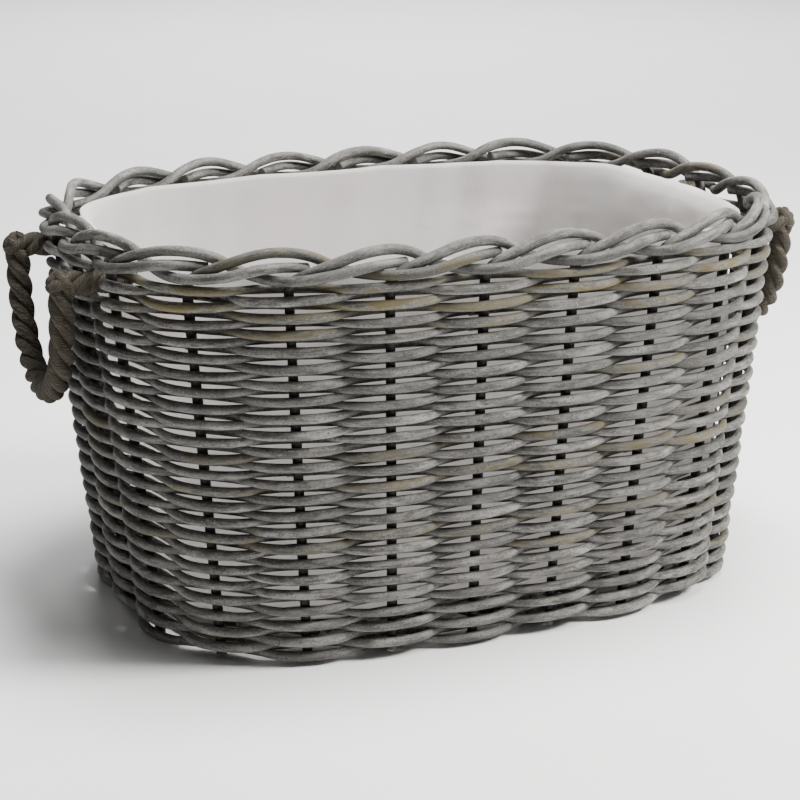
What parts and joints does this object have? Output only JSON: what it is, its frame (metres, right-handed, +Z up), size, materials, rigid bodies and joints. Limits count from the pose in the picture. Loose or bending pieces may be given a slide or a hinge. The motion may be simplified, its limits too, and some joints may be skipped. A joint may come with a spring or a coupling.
{
  "type": "log basket",
  "caption": "Oval flared log basket woven from grey willow rods, with a plaited border, a fabric lining and a hanging rope loop at each end.",
  "frame": {"origin": "centre of the basket's footprint, on the surface it stands on", "axes": "+X along the basket's length, +Y across it, +Z up"},
  "size_m": [0.6754, 0.4514, 0.3461],
  "materials": {
    "stake_rod": "weathered grey willow",
    "weaver_rod": "weathered grey willow",
    "lining_fabric": "matte woven cotton",
    "rope": "coarse brown twisted fibre"
  },
  "bodies": {
    "basket": {"stake_01": "stake_rod", "stake_02": "stake_rod", "stake_03": "stake_rod", "stake_04": "stake_rod", "stake_05": "stake_rod", "stake_06": "stake_rod", "stake_07": "stake_rod", "stake_08": "stake_rod", "stake_09": "stake_rod", "stake_10": "stake_rod", "stake_11": "stake_rod", "stake_12": "stake_rod", "stake_13": "stake_rod", "stake_14": "stake_rod", "stake_15": "stake_rod", "stake_16": "stake_rod", "stake_17": "stake_rod", "stake_18": "stake_rod", "stake_19": "stake_rod", "stake_20": "stake_rod", "stake_21": "stake_rod", "stake_22": "stake_rod", "weave_row_01": "weaver_rod", "weave_row_02": "weaver_rod", "weave_row_03": "weaver_rod", "weave_row_04": "weaver_rod", "weave_row_05": "weaver_rod", "weave_row_06": "weaver_rod", "weave_row_07": "weaver_rod", "weave_row_08": "weaver_rod", "weave_row_09": "weaver_rod", "weave_row_10": "weaver_rod", "weave_row_11": "weaver_rod", "weave_row_12": "weaver_rod", "weave_row_13": "weaver_rod", "weave_row_14": "weaver_rod", "weave_row_15": "weaver_rod", "weave_row_16": "weaver_rod", "weave_row_17": "weaver_rod", "weave_row_18": "weaver_rod", "weave_row_19": "weaver_rod", "weave_row_20": "weaver_rod", "weave_row_21": "weaver_rod", "weave_row_22": "weaver_rod", "weave_row_23": "weaver_rod", "base_hoop": "stake_rod", "base_sticks": "stake_rod", "base_weavers": "weaver_rod", "lining_wall": "lining_fabric", "lining_base": "lining_fabric", "rope_inside_left": "rope", "rope_inside_right": "rope"},
    "handle_left": {"rope_loop_left": "rope"},
    "handle_right": {"rope_loop_right": "rope"}
  },
  "joints": [
    {"name": "handle_left_swing", "type": "hinge", "parent": "basket", "child": "handle_left", "pos_m": [-0.3272, 0, 0.3053], "axis": [0, 1, 0], "range_deg": [-8, 165]},
    {"name": "handle_right_swing", "type": "hinge", "parent": "basket", "child": "handle_right", "pos_m": [0.3272, 0, 0.3053], "axis": [0, -1, 0], "range_deg": [-8, 165]}
  ]
}
